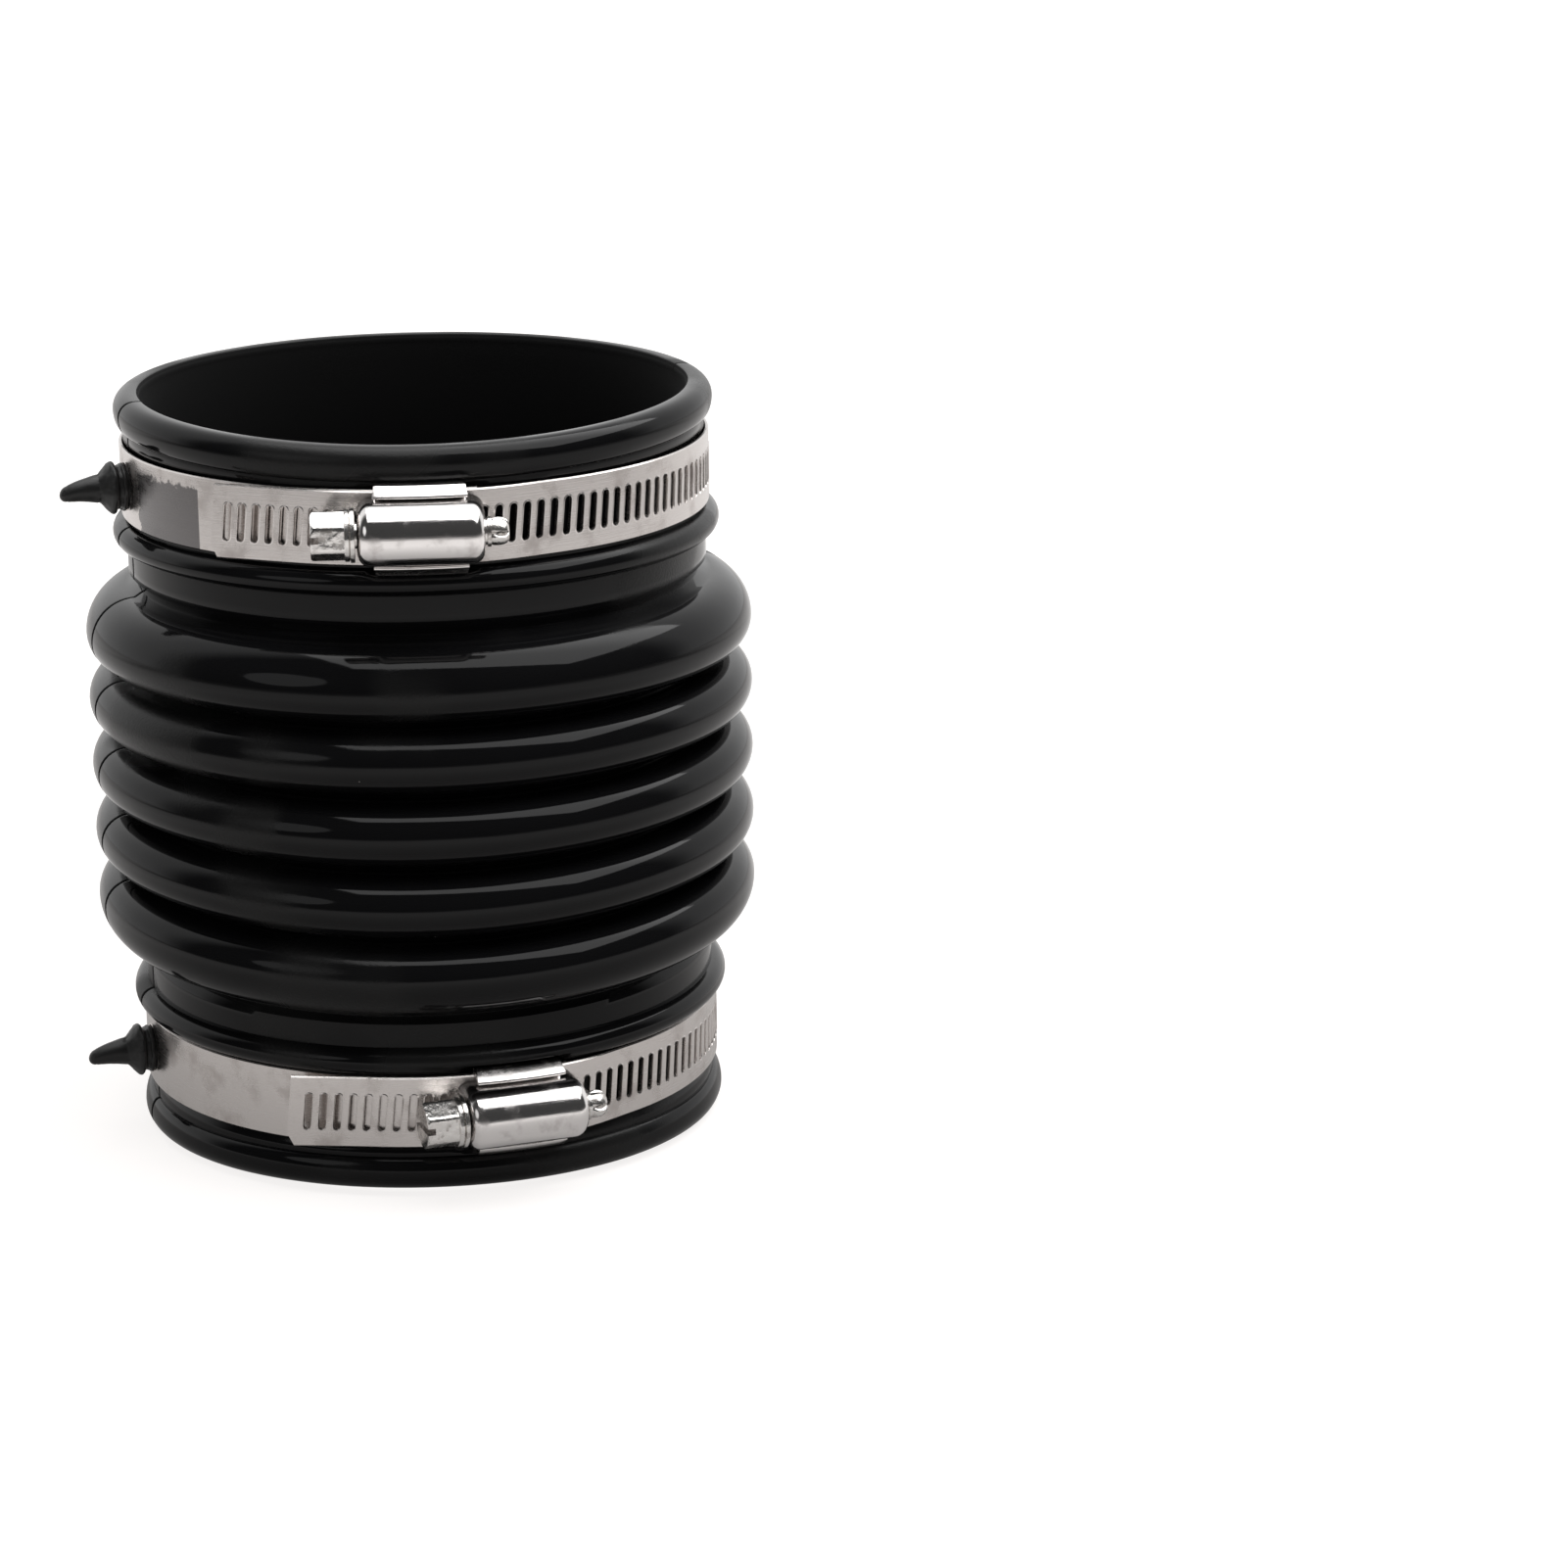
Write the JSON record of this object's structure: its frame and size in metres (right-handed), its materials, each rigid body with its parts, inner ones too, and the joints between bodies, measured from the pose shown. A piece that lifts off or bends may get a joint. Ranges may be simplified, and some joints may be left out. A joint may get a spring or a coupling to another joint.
{
  "type": "air intake hose",
  "caption": "Moulded rubber bellows hose for an engine air intake, with a cuff and rounded rim at each end and a worm-drive band clamp on each cuff.",
  "frame": {"origin": "on the hose's axis in the plane of the lower rim's end face", "axes": "+Z along the hose's axis towards the upper rim, +X to the side that the two clamp housings face, with the retaining nibs on the -Y side"},
  "size_m": [0.1116, 0.1116, 0.1256],
  "materials": {
    "moulded_rubber": "gloss black moulded rubber",
    "rolled_band_steel": "bright rolled stainless strip",
    "folded_saddle_steel": "bright pressed stainless sheet",
    "polished_housing_steel": "mirror-bright pressed sheet",
    "plated_screw_steel": "bright plated steel"
  },
  "bodies": {
    "hose": {"hose": "moulded_rubber", "lower_clamp_band": "rolled_band_steel", "lower_clamp_saddle": "folded_saddle_steel", "lower_clamp_housing": "polished_housing_steel"},
    "lower_screw": {"lower_clamp_screw": "plated_screw_steel"},
    "upper_clamp": {"upper_clamp_band": "rolled_band_steel", "upper_clamp_saddle": "folded_saddle_steel", "upper_clamp_housing": "polished_housing_steel"},
    "upper_screw": {"upper_clamp_screw": "plated_screw_steel"}
  },
  "joints": [
    {"name": "bellows_stretch", "type": "slide", "parent": "hose", "child": "upper_clamp", "axis": [0, 0, 1], "range_m": [-0.015, 0.02], "stiffness_N_per_m": 2500, "deforming": ["hose"]},
    {"name": "upper_screw_turn", "type": "hinge", "parent": "upper_clamp", "child": "upper_screw", "pos_m": [0.03475, -0.04068, 0.1116], "axis": [0.7604, 0.6494, 0], "range_deg": [-2160, 1440], "deforming": ["upper_clamp_band"]},
    {"name": "lower_screw_turn", "type": "hinge", "parent": "hose", "child": "lower_screw", "pos_m": [0.04409, -0.0303, 0.0147], "axis": [0.5664, 0.8241, 0], "range_deg": [-2160, 1440], "deforming": ["lower_clamp_band"]}
  ]
}
